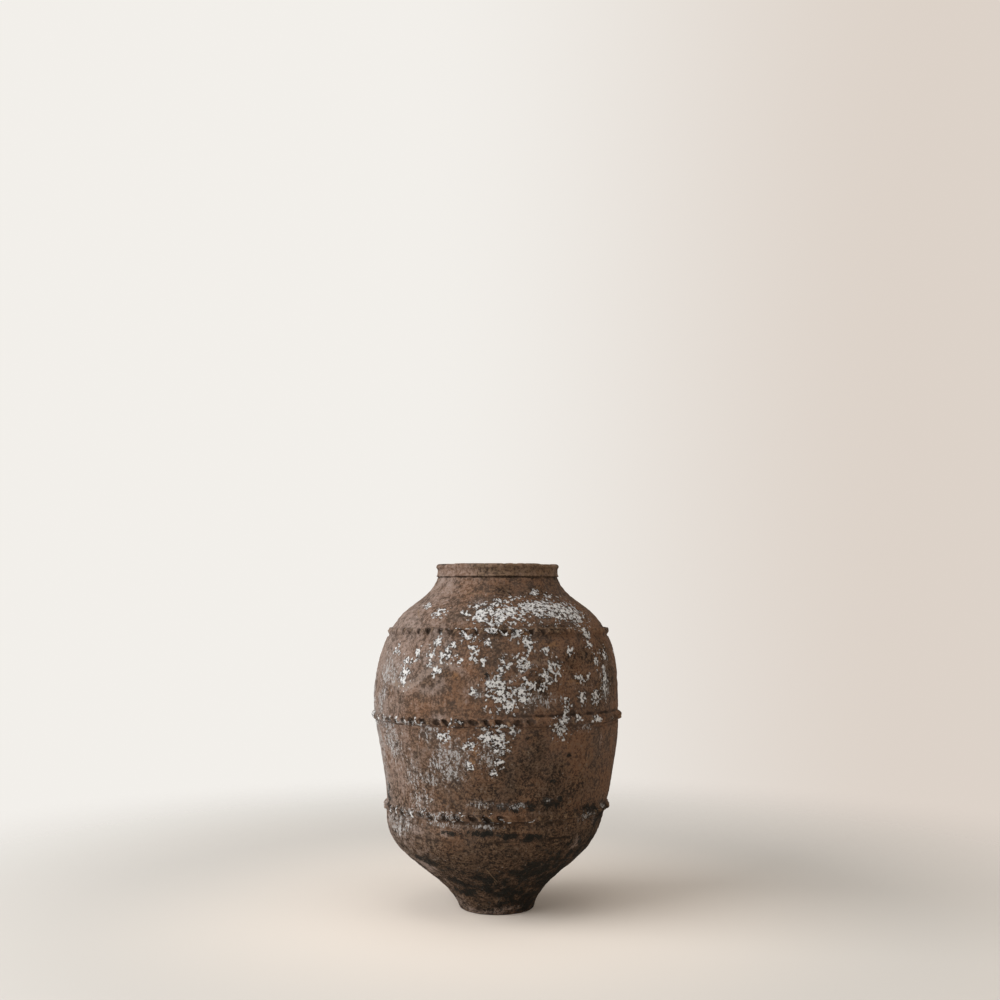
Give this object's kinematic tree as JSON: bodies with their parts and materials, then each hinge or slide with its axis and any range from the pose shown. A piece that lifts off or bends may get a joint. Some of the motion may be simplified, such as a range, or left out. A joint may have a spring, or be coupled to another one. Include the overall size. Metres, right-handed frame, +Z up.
{
  "type": "earthenware storage jar",
  "caption": "Tall round-shouldered earthenware oil jar on a narrow foot, with a collared mouth and thumb-pressed bands round a wide belly, built up in keyed tiers.",
  "frame": {"origin": "centre of the foot's underside, on the ground", "axes": "+Z up along the jar's turning axis; -Y towards the front"},
  "size_m": [0.635, 0.635, 0.862],
  "materials": {
    "sooty_clay": "unglazed, blackened and mossy, very rough",
    "stained_clay": "unglazed, stained brown with faint streaks of old limewash",
    "limewashed_clay": "unglazed, with worn flaking patches of limewash",
    "rim_clay": "unglazed, dusty, worn edges",
    "band_clay": "unglazed, dark in the thumb marks and pale on the ridges"
  },
  "bodies": {
    "root": {"foot_slab": "sooty_clay", "foot_wall": "sooty_clay", "cone_wall": "sooty_clay", "bowl_wall": "stained_clay", "lower_belly_wall": "stained_clay", "upper_belly_wall": "limewashed_clay", "shoulder_wall": "limewashed_clay", "neck_wall": "rim_clay", "rim_collar": "rim_clay", "lower_band": "band_clay", "middle_band": "band_clay", "upper_band": "band_clay"}
  },
  "joints": []
}
